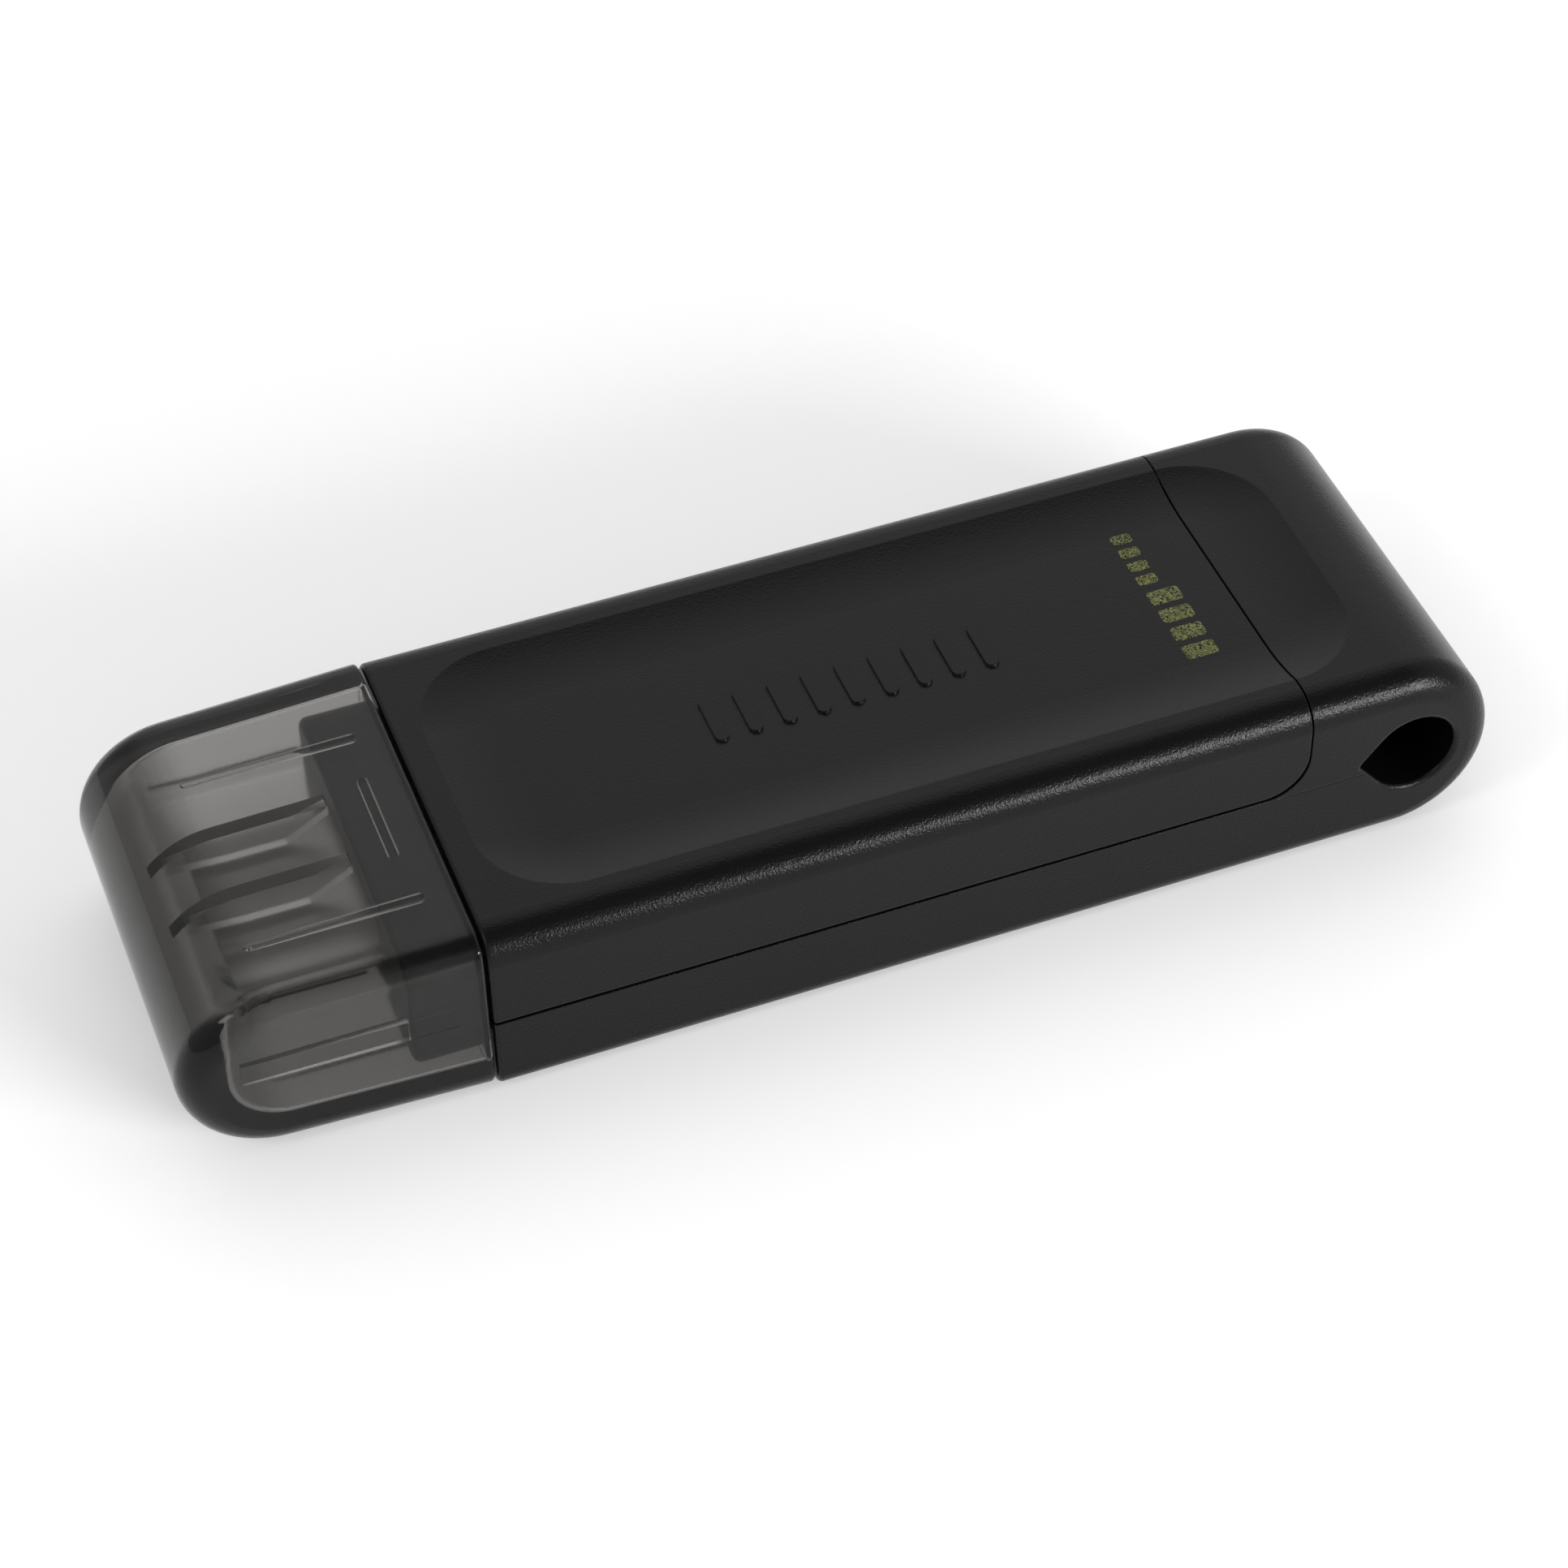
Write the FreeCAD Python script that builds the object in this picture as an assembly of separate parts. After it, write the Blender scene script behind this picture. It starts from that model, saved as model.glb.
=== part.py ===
"""A pocket USB flash drive with a Type-C plug, a push-on smoked cap and a keyring eye.

Millimetres. The drive lies flat: +Z is up, the plug and the cap point to -X, the keyring eye is at +X,
and the origin is under the middle of the whole drive, cap on, on the plane that it rests on.
Each function makes one piece, and PIECES at the end names them all.
"""

import FreeCAD
import Part

import math
import os

from FreeCAD import Vector

# Overall envelope
LENGTH = 59.0
WIDTH = 18.5
HEIGHT = 9.0
MID_Z = HEIGHT / 2
FRONT_X = -LENGTH / 2
REAR_X = LENGTH / 2
HALF_WIDTH = WIDTH / 2
END_RADIUS = HEIGHT / 2
TOP_EDGE_RADIUS = 1.45
LOW_EDGE_RADIUS = 0.95
OVERRUN = 2.0

# Where the pieces meet
BODY_FRONT_X = -16.4
CAP_GAP = 0.12
RIM_ROUND = 0.24
SEAM_Z = MID_Z - 0.3
SEAM_REAR_X = 20.5
SEAM_CORNER_RADIUS = 2.0
SIDE_SEAM_GAP = 0.17
REAR_SEAM_GAP = 0.09

# Shallow scoop in the top, across both shells
SCOOP_FRONT_X = -15.1
SCOOP_REAR_X = 24.5
SCOOP_HALF_WIDTH = 7.28
SCOOP_CORNER_RADIUS = 4.0
SCOOP_SLOPE_WIDTH = 3.0
SCOOP_DEPTH = 0.5

# Raised grip bars in the middle of the scoop
GRIP_BARS = 9
GRIP_PITCH = 1.55
GRIP_BAR_LENGTH = 2.7
GRIP_BAR_WIDTH = 0.62
GRIP_HEIGHT = 0.12
GRIP_CENTRE_X = 2.9

# Keyring eye: a round hole drawn out to a point on the plug's side
EYE_X = 25.6
EYE_RADIUS = 1.95
EYE_POINT_REACH = 2.25
EYE_POINT_RADIUS = 0.22
EYE_RIM_ROUND = 0.25

# Shell walls and cavity
CAVITY_FRONT_X = -14.1
CAVITY_REAR_X = 19.0
UPPER_CAVITY_HALF_WIDTH = 8.05
LOWER_CAVITY_HALF_WIDTH = 7.6
CAVITY_TOP_Z = 7.3
CAVITY_FLOOR_Z = 1.5
CAVITY_CORNER_RADIUS = 0.8
LIP_HEIGHT = 0.9
LIP_CLEARANCE = 0.06
LEDGE_REACH = 1.0
LEDGE_TOP_Z = 7.2
LEDGE_HEIGHT = 0.7

# Collar that carries the plug and that the cap pushes onto
COLLAR_FRONT_X = -19.6
COLLAR_HALF_WIDTH = 7.8
COLLAR_FLOOR_Z = 1.65
COLLAR_TOP_Z = 7.35
COLLAR_CORNER_RADIUS = 1.0
COLLAR_NOSE_ROUND = 0.35
FLANGE_FRONT_X = -15.2
FLANGE_REAR_X = -14.2
FLANGE_HALF_WIDTH = 8.4
FLANGE_FLOOR_Z = 1.2
FLANGE_TOP_Z = 7.7
FIT_CLEARANCE = 0.05

# Cap
CAP_RIM_X = BODY_FRONT_X - CAP_GAP
CAP_DRAFT_Z = 1.4
CAP_DRAFT_Y = 1.15
CAP_WALL = 1.25
CAP_NOSE_WALL = 2.1
CAP_EDGE_RADIUS = 1.25
CAP_RIM_ROUND = 0.16
CAP_NOSE_CORNER = 2.6
CAP_CAVITY_ROUND = 0.5
CAP_LEAD_IN = 0.15
CLAMP_RIB_Y = 1.8
CLAMP_RIB_WIDTH = 0.7
CLAMP_RIB_GAP = 0.35
CLAMP_RIB_REAR_X = -19.95
CLAMP_RIB_RAMP = 1.9
CLAMP_RIB_END_HEIGHT = 0.5
ROOF_GUIDE_RIB_Y = 4.95
FLOOR_GUIDE_RIB_Y = 5.7
GUIDE_RIB_WIDTH = 0.45
GUIDE_RIB_ROUND = 0.19
GUIDE_RIB_FRONT_X = -25.4
GUIDE_RIB_REAR_X = -17.7
SIDE_RIB_FRONT_X = -26.8
SIDE_RIB_WIDTH = 1.1
SIDE_RIB_DEPTH = 0.45
RIB_CLEARANCE = 0.07
RIB_SUNK = 0.05
SNAP_RIDGE_X = -18.2
SNAP_RIDGE_LENGTH = 5.0
SNAP_RIDGE_WIDTH = 0.5
SNAP_RIDGE_ROUND = 0.14

# Type-C plug
PLUG_TIP_X = COLLAR_FRONT_X - 6.65
PLUG_WIDTH = 8.25
PLUG_HEIGHT = 2.4
PLUG_WALL = 0.2
PLUG_SHELL_REAR_X = -16.3
PLUG_MOUTH_ROUND = 0.08
HOUSING_FRONT_X = PLUG_TIP_X + 0.15
HOUSING_REAR_X = PLUG_TIP_X + 5.15
HOUSING_CLEARANCE = 0.02
MOUTH_HALF_WIDTH = 3.45
MOUTH_HALF_HEIGHT = 0.6
CONTACT_COUNT = 12
CONTACT_PITCH = 0.5
CONTACT_WIDTH = 0.25
CONTACT_THICKNESS = 0.12
CONTACT_FRONT_X = PLUG_TIP_X + 1.75
CONTACT_REAR_X = -15.4
CONTACT_BUMP_X = PLUG_TIP_X + 2.55
CONTACT_GAP = 0.35
GROOVE_WIDTH = 0.32
GROOVE_DEPTH = 0.22
BLOCK_REAR_X = -17.2
LATCH_PLATE_THICKNESS = 0.16
LATCH_TIP_X = PLUG_TIP_X + 1.15
LATCH_HOOK_Y = 3.1
LATCH_ARM_Y = 3.48
LATCH_ARM_WIDTH = 0.2
SHIELD_SPRING_LENGTH = 1.1
SHIELD_SPRING_THICKNESS = 0.1
SHIELD_TONGUES = 3
SHIELD_TONGUE_PITCH = 1.9
LEG_Y = 3.5
LEG_WIDTH = 0.4
LEG_HEIGHT = 0.55
LEG_REAR_X = -14.9

# Circuit board
BOARD_THICKNESS = 0.8
BOARD_TOP_Z = MID_Z + BOARD_THICKNESS / 2
BOARD_FLOOR_Z = MID_Z - BOARD_THICKNESS / 2
BOARD_FRONT_X = -17.0
BOARD_SHOULDER_X = -14.0
BOARD_REAR_X = 18.3
BOARD_TONGUE_HALF_WIDTH = 3.75
BOARD_HALF_WIDTH = 6.55
PIN_X = 16.6
PIN_Y = 5.0
PIN_RADIUS = 0.6
PIN_CLEARANCE = 0.08
POST_RADIUS = 0.9
POST_Y = 5.5
FRONT_POST_X = -12.4
REAR_POST_X = PIN_X

# Components on the board: centre x and y, length along X, width along Y, height
CONTROLLER = (-8.2, 0.3, 5.0, 5.0, 0.85)
FLASH = (5.6, 0.0, 18.0, 12.0, 1.0)
CRYSTAL = (-6.3, -4.9, 3.2, 2.5, 0.75)
INDUCTOR = (-5.2, 4.9, 2.5, 2.0, 1.0)
REGULATOR = (-9.4, 4.9, 2.9, 1.6, 1.1)
REGULATOR_STAND_OFF = 0.1
LEAD_PITCH = 0.95
LEAD_WIDTH = 0.4
LEAD_THICKNESS = 0.15
PROTECTOR_X = -13.9
PROTECTOR_Y = 1.6

# Small two-ended parts: centre x and y, and how far they are turned from lying along X
CAPACITOR_SIZE = (1.0, 0.5, 0.5)
CAPACITOR_PLACES = (
    (-12.3, 2.6, 90), (-12.3, 1.1, 90), (-12.3, -0.4, 90), (-4.5, 2.0, 90),
    (-4.5, 0.2, 90), (-4.5, -1.6, 90), (16.4, 1.8, 90), (16.4, -1.8, 90),
)
RESISTOR_SIZE = (1.0, 0.5, 0.35)
RESISTOR_PLACES = (
    (-12.3, -1.9, 90), (-12.3, -3.4, 90), (-9.6, -3.6, 0), (-9.6, -4.6, 0), (-9.6, -5.6, 0),
)
TERMINAL = 0.22

# Snap tabs that hold the upper shell down
SNAP_X = (-8.0, 8.0)
SNAP_LENGTH = 3.0
SNAP_INNER_Y = 6.7
SNAP_OUTER_Y = 7.3
SNAP_FOOT_Z = 2.6
SNAP_BARB = 0.45
SNAP_BARB_HEIGHT = 0.7
SNAP_CLEARANCE = 0.08


def box(x0, x1, y0, y1, z0, z1):
    """A plain block between two corners."""
    return Part.makeBox(x1 - x0, y1 - y0, z1 - z0, Vector(x0, y0, z0))


def wide_box(x0, x1, half_width, z0, z1):
    """A block centred across the drive."""
    return box(x0, x1, -half_width, half_width, z0, z1)


def mirror_y(shape):
    return shape.mirror(Vector(0, 0, 0), Vector(0, 1, 0))


def mirror_mid(shape):
    """The same shape turned over about the plug's middle plane."""
    return shape.mirror(Vector(0, 0, MID_Z), Vector(0, 0, 1))


def both_sides(shape):
    return [shape, mirror_y(shape)]


def join(shapes):
    joined = shapes[0].multiFuse(shapes[1:]) if len(shapes) > 1 else shapes[0]
    return joined.removeSplitter()


def side_extrusion(edges, y0, y1):
    """A closed outline in the XZ plane, drawn at y = 0, made solid from y0 to y1."""
    face = Part.Face(Part.Wire(Part.__sortEdges__(edges)))
    face.translate(Vector(0, y0, 0))
    return face.extrude(Vector(0, y1 - y0, 0))


def side_polygon(points, y0, y1):
    corners = [Vector(x, 0, z) for x, z in points]
    face = Part.Face(Part.makePolygon(corners + corners[:1]))
    face.translate(Vector(0, y0, 0))
    return face.extrude(Vector(0, y1 - y0, 0))


def line(start, end):
    return Part.LineSegment(start, end).toShape()


def arc(start, middle, end):
    return Part.Arc(start, middle, end).toShape()


def point_xz(x, z):
    return Vector(x, 0, z)


def edges_where(shape, test):
    """The edges whose every vertex and middle point pass a test."""
    chosen = []
    for edge in shape.Edges:
        middle = edge.valueAt((edge.FirstParameter + edge.LastParameter) / 2)
        if all(test(p) for p in [v.Point for v in edge.Vertexes] + [middle]):
            chosen.append(edge)
    return chosen


def near(a, b):
    return abs(a - b) < 1e-4


def rounded_bar_x(x0, x1, half_width, z0, z1, radius):
    """A bar along X whose section is a rectangle with round corners."""
    bar = wide_box(x0, x1, half_width, z0, z1)
    long_edges = [e for e in bar.Edges if near(e.Length, x1 - x0) and near(e.tangentAt(0).x ** 2, 1)]
    return bar.makeFillet(radius, long_edges)


def capsule_bar_x(x0, x1, width, height):
    """A bar along X at the plug's height, with full-round sides."""
    return rounded_bar_x(x0, x1, width / 2, MID_Z - height / 2, MID_Z + height / 2, height / 2 - 1e-3)


def upright_edges(shape):
    return [e for e in shape.Edges if near(abs(e.tangentAt(e.FirstParameter).z), 1)]


def scoop_cutter():
    """A tray-shaped cutter: a flat floor that curves up to a crisp edge at the top face."""
    curve = (SCOOP_SLOPE_WIDTH ** 2 + SCOOP_DEPTH ** 2) / (2 * SCOOP_DEPTH)
    spread = curve - SCOOP_SLOPE_WIDTH
    floor_z = HEIGHT - SCOOP_DEPTH
    tray = wide_box(
        SCOOP_FRONT_X - spread, SCOOP_REAR_X + spread, SCOOP_HALF_WIDTH + spread,
        floor_z, floor_z + curve + OVERRUN,
    )
    tray = tray.makeFillet(SCOOP_CORNER_RADIUS + spread, upright_edges(tray))
    return tray.makeFillet(curve, edges_where(tray, lambda p: near(p.z, floor_z)))


def eye_cutter():
    """The keyring hole's outline, right across the drive."""
    half_angle = math.asin((EYE_RADIUS - EYE_POINT_RADIUS) / EYE_POINT_REACH)
    away = math.pi / 2 + half_angle
    tip_x = EYE_X - EYE_POINT_REACH

    def on_circle(centre_x, radius, angle):
        return point_xz(centre_x + radius * math.cos(angle), MID_Z + radius * math.sin(angle))

    big_top = on_circle(EYE_X, EYE_RADIUS, away)
    big_low = on_circle(EYE_X, EYE_RADIUS, -away)
    tip_top = on_circle(tip_x, EYE_POINT_RADIUS, away)
    tip_low = on_circle(tip_x, EYE_POINT_RADIUS, -away)
    edges = [
        arc(big_low, point_xz(EYE_X + EYE_RADIUS, MID_Z), big_top),
        line(big_top, tip_top),
        arc(tip_top, point_xz(tip_x - EYE_POINT_RADIUS, MID_Z), tip_low),
        line(tip_low, big_low),
    ]
    return side_extrusion(edges, -HALF_WIDTH - OVERRUN, HALF_WIDTH + OVERRUN)


def body_envelope():
    """The outside of both shells together: a bar with a half-round rear end and soft long edges.

    The fillets grow as they go round the rear end, and run on along the straight edges at each radius.
    """
    start_x = BODY_FRONT_X - OVERRUN
    end_x = REAR_X - END_RADIUS
    outline = [
        line(point_xz(start_x, 0), point_xz(end_x, 0)),
        arc(point_xz(end_x, 0), point_xz(REAR_X, MID_Z), point_xz(end_x, HEIGHT)),
        line(point_xz(end_x, HEIGHT), point_xz(start_x, HEIGHT)),
        line(point_xz(start_x, HEIGHT), point_xz(start_x, 0)),
    ]
    bar = side_extrusion(outline, -HALF_WIDTH, HALF_WIDTH)
    ends = edges_where(bar, lambda p: near(abs(p.y), HALF_WIDTH) and p.x > end_x - 0.01)
    bar = bar.makeFillet(LOW_EDGE_RADIUS, TOP_EDGE_RADIUS, ends)
    bar = bar.cut(wide_box(start_x - 1, BODY_FRONT_X, WIDTH, -OVERRUN, HEIGHT + OVERRUN))
    bar = bar.makeFillet(RIM_ROUND, edges_where(bar, lambda p: near(p.x, BODY_FRONT_X)))
    bar = bar.cut(eye_cutter())
    eye_rims = edges_where(bar, lambda p: near(abs(p.y), HALF_WIDTH) and abs(p.z - MID_Z) < EYE_RADIUS + 0.1
                           and abs(p.x - EYE_X) < EYE_POINT_REACH + EYE_RADIUS)
    return bar.makeFillet(EYE_RIM_ROUND, eye_rims).cut(scoop_cutter())


def upper_region(side_offset, rear_offset):
    """The space that the upper shell takes, in side view, with a round rear lower corner."""
    z0 = SEAM_Z + side_offset
    x1 = SEAM_REAR_X - rear_offset
    x0 = BODY_FRONT_X - OVERRUN
    radius = SEAM_CORNER_RADIUS
    bend = radius * (1 - math.sqrt(0.5))
    outline = [
        line(point_xz(x0, z0), point_xz(x1 - radius, z0)),
        arc(point_xz(x1 - radius, z0), point_xz(x1 - bend, z0 + bend), point_xz(x1, z0 + radius)),
        line(point_xz(x1, z0 + radius), point_xz(x1, HEIGHT + OVERRUN)),
        line(point_xz(x1, HEIGHT + OVERRUN), point_xz(x0, HEIGHT + OVERRUN)),
        line(point_xz(x0, HEIGHT + OVERRUN), point_xz(x0, z0)),
    ]
    return side_extrusion(outline, -WIDTH, WIDTH)


def collar_opening():
    """The passage through the shells' front wall, and the pocket for the collar's flange."""
    passage = rounded_bar_x(
        BODY_FRONT_X - OVERRUN, FLANGE_REAR_X, COLLAR_HALF_WIDTH + FIT_CLEARANCE,
        COLLAR_FLOOR_Z - FIT_CLEARANCE, COLLAR_TOP_Z + FIT_CLEARANCE, COLLAR_CORNER_RADIUS,
    )
    pocket = wide_box(
        FLANGE_FRONT_X - FIT_CLEARANCE, CAVITY_FRONT_X + 0.01, FLANGE_HALF_WIDTH + FIT_CLEARANCE,
        FLANGE_FLOOR_Z - FIT_CLEARANCE, FLANGE_TOP_Z + FIT_CLEARANCE,
    )
    return passage.fuse(pocket)


def cavity(half_width, z0, z1, rear_x):
    """A rounded pocket between the shells' walls."""
    block = wide_box(CAVITY_FRONT_X, rear_x, half_width, z0, z1)
    return block.makeFillet(CAVITY_CORNER_RADIUS, upright_edges(block))


def post(x, y, radius, z0, z1):
    return Part.makeCylinder(radius, z1 - z0, Vector(x, y, z0))


def corners_of(x_values, y_value):
    return [(x, y) for x in x_values for y in (-y_value, y_value)]


def snap_tab(x):
    """One springy tab on the +Y side, with a barb at its foot."""
    x0 = x - SNAP_LENGTH / 2
    x1 = x + SNAP_LENGTH / 2
    tab = box(x0, x1, SNAP_INNER_Y, SNAP_OUTER_Y, SNAP_FOOT_Z, CAVITY_TOP_Z + 0.1)
    barb_top = SNAP_FOOT_Z + SNAP_BARB_HEIGHT
    profile = [
        Vector(x0, SNAP_OUTER_Y, SNAP_FOOT_Z),
        Vector(x0, SNAP_OUTER_Y + SNAP_BARB, barb_top),
        Vector(x0, SNAP_OUTER_Y, barb_top),
    ]
    barb = Part.Face(Part.makePolygon(profile + profile[:1])).extrude(Vector(SNAP_LENGTH, 0, 0))
    return tab.fuse(barb)


def snap_window(x):
    """The notch in the lower shell's wall that a barb springs into."""
    reach = SNAP_OUTER_Y + SNAP_BARB + SNAP_CLEARANCE
    half = SNAP_LENGTH / 2 + SNAP_CLEARANCE
    barb_top = SNAP_FOOT_Z + SNAP_BARB_HEIGHT
    return box(
        x - half, x + half, SNAP_OUTER_Y, reach, SNAP_FOOT_Z - SNAP_CLEARANCE, barb_top + SNAP_CLEARANCE
    )


def grip_bars():
    """A row of low bars with round ends, standing on the scoop's floor."""
    floor_z = HEIGHT - SCOOP_DEPTH
    first_x = GRIP_CENTRE_X - GRIP_PITCH * (GRIP_BARS - 1) / 2
    half = (GRIP_BAR_LENGTH - GRIP_BAR_WIDTH) / 2
    radius = GRIP_BAR_WIDTH / 2
    bars = []
    for i in range(GRIP_BARS):
        outline = [
            line(Vector(-radius, -half, 0), Vector(-radius, half, 0)),
            arc(Vector(-radius, half, 0), Vector(0, half + radius, 0), Vector(radius, half, 0)),
            line(Vector(radius, half, 0), Vector(radius, -half, 0)),
            arc(Vector(radius, -half, 0), Vector(0, -half - radius, 0), Vector(-radius, -half, 0)),
        ]
        bar = Part.Face(Part.Wire(outline)).extrude(Vector(0, 0, GRIP_HEIGHT + 0.1))
        bar.translate(Vector(first_x + i * GRIP_PITCH, 0, floor_z - 0.1))
        bars.append(bar)
    return bars


def upper_shell(envelope):
    shell = envelope.common(upper_region(SIDE_SEAM_GAP / 2, REAR_SEAM_GAP / 2))
    shell = shell.cut(cavity(UPPER_CAVITY_HALF_WIDTH, -1, CAVITY_TOP_Z, CAVITY_REAR_X))
    shell = shell.cut(collar_opening())
    ledge_room = wide_box(
        CAVITY_REAR_X - 0.5, SEAM_REAR_X + 0.1, UPPER_CAVITY_HALF_WIDTH,
        LEDGE_TOP_Z - LEDGE_HEIGHT - LIP_CLEARANCE, LEDGE_TOP_Z + LIP_CLEARANCE,
    )
    shell = shell.cut(ledge_room)
    hold_downs = [post(x, y, POST_RADIUS, BOARD_TOP_Z + 0.02, CAVITY_TOP_Z + 0.1)
                  for x, y in corners_of((FRONT_POST_X,), POST_Y)]
    hold_downs += [post(x, y, POST_RADIUS, BOARD_TOP_Z + 0.9, CAVITY_TOP_Z + 0.1)
                   for x, y in corners_of((REAR_POST_X,), PIN_Y)]
    tabs = [tab for x in SNAP_X for tab in both_sides(snap_tab(x))]
    return join([shell] + hold_downs + tabs + grip_bars())


def lower_shell(envelope):
    shell = envelope.cut(upper_region(-SIDE_SEAM_GAP / 2, -REAR_SEAM_GAP / 2))
    shell = shell.cut(cavity(LOWER_CAVITY_HALF_WIDTH, CAVITY_FLOOR_Z, HEIGHT + 1, CAVITY_REAR_X - 0.4))
    seam_top = SEAM_Z - SIDE_SEAM_GAP / 2
    lip = cavity(UPPER_CAVITY_HALF_WIDTH - LIP_CLEARANCE, seam_top - 0.3, SEAM_Z + LIP_HEIGHT,
                 CAVITY_REAR_X - LIP_CLEARANCE)
    lip = lip.cut(cavity(LOWER_CAVITY_HALF_WIDTH, 0, HEIGHT, CAVITY_REAR_X - 0.4))
    lip = lip.cut(wide_box(CAVITY_FRONT_X - 1, CAVITY_FRONT_X + 0.6, WIDTH, 0, HEIGHT))
    ledge = wide_box(
        SEAM_REAR_X - LEDGE_REACH, SEAM_REAR_X + 0.3, UPPER_CAVITY_HALF_WIDTH - 0.1,
        LEDGE_TOP_Z - LEDGE_HEIGHT, LEDGE_TOP_Z,
    )
    shell = join([shell, lip, ledge]).cut(collar_opening())
    posts = [post(x, y, POST_RADIUS, CAVITY_FLOOR_Z - 0.1, BOARD_FLOOR_Z)
             for x, y in corners_of((FRONT_POST_X,), POST_Y) + corners_of((REAR_POST_X,), PIN_Y)]
    pins = [post(x, y, PIN_RADIUS, CAVITY_FLOOR_Z - 0.1, BOARD_TOP_Z + 0.6)
            for x, y in corners_of((PIN_X,), PIN_Y)]
    shell = join([shell] + posts + pins)
    for x in SNAP_X:
        for window in both_sides(snap_window(x)):
            shell = shell.cut(window)
    return shell


def plug_collar():
    neck = rounded_bar_x(COLLAR_FRONT_X, FLANGE_REAR_X, COLLAR_HALF_WIDTH, COLLAR_FLOOR_Z, COLLAR_TOP_Z,
                         COLLAR_CORNER_RADIUS)
    neck = neck.makeFillet(COLLAR_NOSE_ROUND, edges_where(neck, lambda p: near(p.x, COLLAR_FRONT_X)))
    flange = rounded_bar_x(FLANGE_FRONT_X, FLANGE_REAR_X, FLANGE_HALF_WIDTH, FLANGE_FLOOR_Z, FLANGE_TOP_Z,
                           COLLAR_CORNER_RADIUS)
    passage = capsule_bar_x(
        COLLAR_FRONT_X - 1, FLANGE_REAR_X + 1, PLUG_WIDTH + 2 * FIT_CLEARANCE, PLUG_HEIGHT + 2 * FIT_CLEARANCE
    )
    return join([neck, flange]).cut(passage)


def cap_half_height(x, inset=0.0):
    return END_RADIUS - inset - (CAP_RIM_X - x) * math.tan(math.radians(CAP_DRAFT_Z))


def cap_half_width(x, inset=0.0):
    return HALF_WIDTH - inset - (CAP_RIM_X - x) * math.tan(math.radians(CAP_DRAFT_Y))


def drafted_plan(x0, x1, inset):
    """A block through the full height whose sides draw in towards the nose."""
    corners = [
        Vector(x0, -cap_half_width(x0, inset), -OVERRUN),
        Vector(x1, -cap_half_width(x1, inset), -OVERRUN),
        Vector(x1, cap_half_width(x1, inset), -OVERRUN),
        Vector(x0, cap_half_width(x0, inset), -OVERRUN),
    ]
    face = Part.Face(Part.makePolygon(corners + corners[:1]))
    return face.extrude(Vector(0, 0, HEIGHT + 2 * OVERRUN))


def cap_outside():
    """Drafted top and bottom that run into a half-round nose, between drafted sides."""
    slope = math.radians(CAP_DRAFT_Z)
    reach = CAP_RIM_X - FRONT_X
    nose = math.cos(slope) * (END_RADIUS - reach * math.tan(slope)) / (1 - math.sin(slope))
    centre_x = FRONT_X + nose
    start_x = CAP_RIM_X + OVERRUN
    touch_x = centre_x - nose * math.sin(slope)
    touch_z = nose * math.cos(slope)
    rim_z = cap_half_height(start_x)
    outline = [
        line(point_xz(start_x, MID_Z - rim_z), point_xz(touch_x, MID_Z - touch_z)),
        arc(point_xz(touch_x, MID_Z - touch_z), point_xz(FRONT_X, MID_Z), point_xz(touch_x, MID_Z + touch_z)),
        line(point_xz(touch_x, MID_Z + touch_z), point_xz(start_x, MID_Z + rim_z)),
        line(point_xz(start_x, MID_Z + rim_z), point_xz(start_x, MID_Z - rim_z)),
    ]
    solid = side_extrusion(outline, -WIDTH, WIDTH).common(drafted_plan(FRONT_X - 1, start_x, 0.0))
    rims = [e for e in solid.Edges
            if all(near(abs(v.Y), cap_half_width(v.X)) for v in e.Vertexes)
            and not all(near(v.X, start_x) for v in e.Vertexes)]
    solid = solid.makeFillet(CAP_EDGE_RADIUS, rims)
    solid = solid.cut(wide_box(CAP_RIM_X, start_x + 1, WIDTH, -OVERRUN, HEIGHT + OVERRUN))
    return solid.makeFillet(CAP_RIM_ROUND, edges_where(solid, lambda p: near(p.x, CAP_RIM_X)))


def cap_cavity():
    """The hollow: drafted like the outside, with large round corners at the nose."""
    inner_x = FRONT_X + CAP_NOSE_WALL
    end_x = CAP_RIM_X + 1
    top_inner = MID_Z + cap_half_height(inner_x, CAP_WALL)
    top_end = MID_Z + cap_half_height(end_x, CAP_WALL)
    points = [
        (inner_x, 2 * MID_Z - top_inner), (end_x, 2 * MID_Z - top_end), (end_x, top_end), (inner_x, top_inner)
    ]
    hollow = side_polygon(points, -WIDTH, WIDTH)
    nose_edges = [e for e in hollow.Edges if all(near(v.X, inner_x) for v in e.Vertexes) and e.Length > WIDTH]
    hollow = hollow.makeFillet(CAP_NOSE_CORNER, nose_edges)
    hollow = hollow.common(drafted_plan(inner_x - 1, end_x, CAP_WALL))
    rims = [e for e in hollow.Edges
            if all(near(abs(v.Y), cap_half_width(v.X, CAP_WALL)) for v in e.Vertexes)
            and not all(near(v.X, end_x) for v in e.Vertexes)]
    hollow = hollow.makeFillet(CAP_CAVITY_ROUND, rims)
    lead_in = Part.makeLoft([mouth_section(-CAP_LEAD_IN, 0.0), mouth_section(0.01, CAP_LEAD_IN)], True, True)
    return hollow.fuse(lead_in)


def mouth_section(along, grown):
    """The cap's inner section at its rim, moved along X and grown all round."""
    half_width = cap_half_width(CAP_RIM_X, CAP_WALL) + grown
    half_height = cap_half_height(CAP_RIM_X, CAP_WALL) + grown
    return rounded_section(CAP_RIM_X + along, half_width, half_height, CAP_CAVITY_ROUND + grown)


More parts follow.
